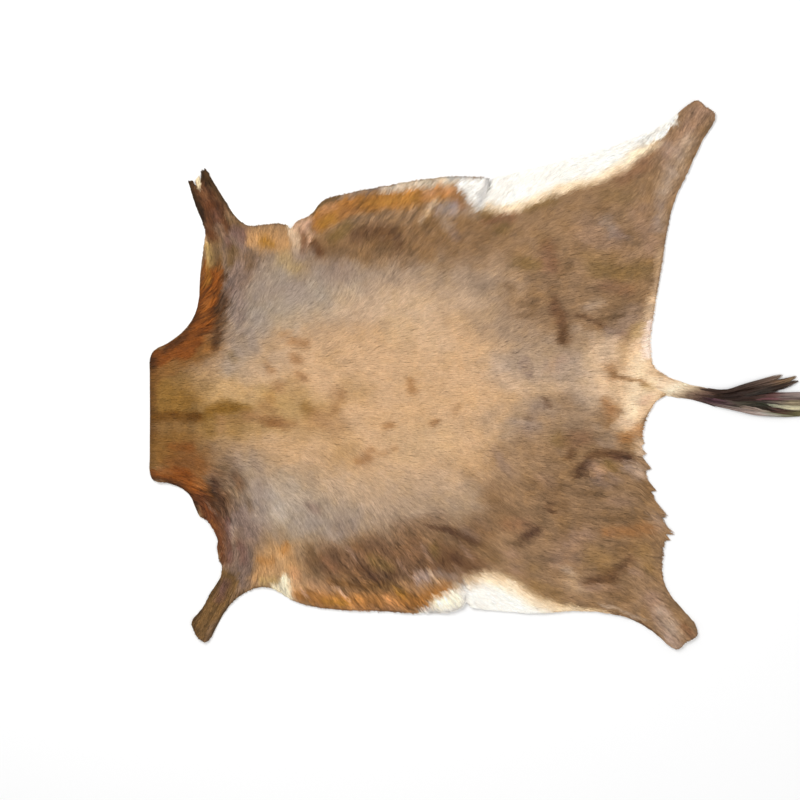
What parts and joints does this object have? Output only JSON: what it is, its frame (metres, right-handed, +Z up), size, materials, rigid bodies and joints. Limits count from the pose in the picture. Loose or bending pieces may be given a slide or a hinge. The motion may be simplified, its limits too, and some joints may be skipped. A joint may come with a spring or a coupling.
{
  "type": "blesbok skin",
  "caption": "Tanned antelope skin laid flat with its hair side up, with four short leg strips, pale belly edges and a dark tufted tail.",
  "frame": {"origin": "middle of the floor under the whole skin, tail included", "axes": "+X from the neck cut to the tail, +Y to the animal's right side, +Z up from the floor, hair side up"},
  "size_m": [1.4738, 1.1788, 0.0118],
  "materials": {
    "hair_coat": "short hair lying flat over a tanned suede back",
    "tail_hair": "long loose hair"
  },
  "bodies": {
    "root": {"hide": "hair_coat", "tail": "tail_hair"}
  },
  "joints": []
}
